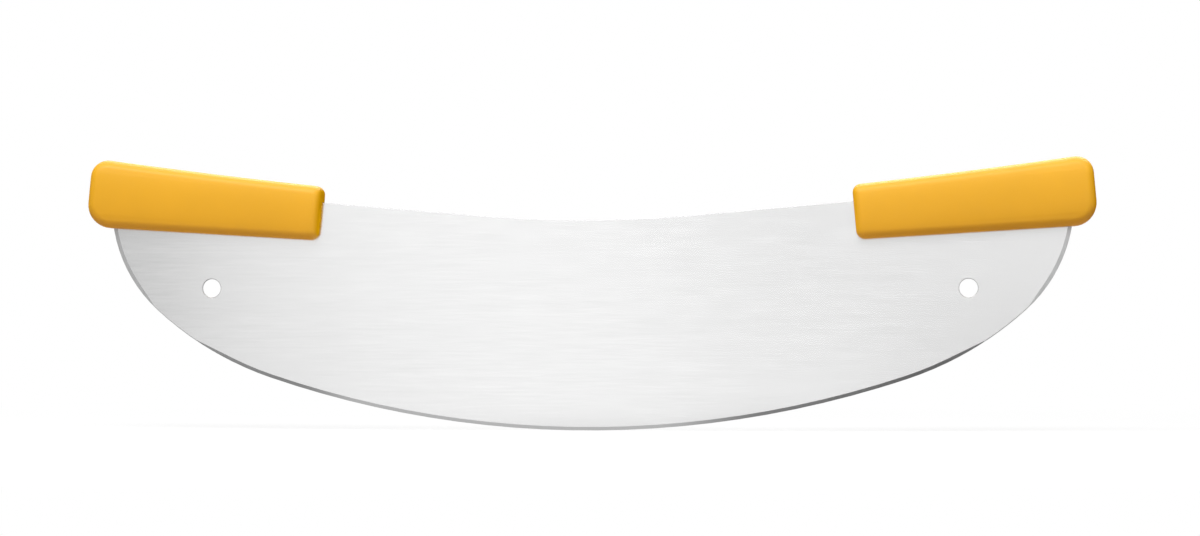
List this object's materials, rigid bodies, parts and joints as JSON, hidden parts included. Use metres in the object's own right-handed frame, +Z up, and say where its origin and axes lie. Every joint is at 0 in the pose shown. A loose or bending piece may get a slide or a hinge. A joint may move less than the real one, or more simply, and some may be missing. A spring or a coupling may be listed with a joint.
{
  "type": "rocking pizza knife",
  "caption": "Rocking pizza knife: a flat steel blade with a curved ground edge, a hollow spine and hanging holes, and a plastic handle moulded over each end.",
  "frame": {"origin": "lowest point of the cutting edge, at the middle of the blade's thickness and length", "axes": "+X to the right along the blade, +Y through the blade's thickness to its back face, +Z up from the cutting edge to the handles"},
  "size_m": [0.5474, 0.02, 0.1469],
  "materials": {
    "blade_steel": "stainless plate brushed along its length, with a finely ground cutting edge",
    "handle_plastic": "warm yellow moulded polypropylene with a satin, finely grained skin"
  },
  "bodies": {
    "root": {"blade": "blade_steel", "handle_left": "handle_plastic", "handle_right": "handle_plastic"}
  },
  "joints": []
}
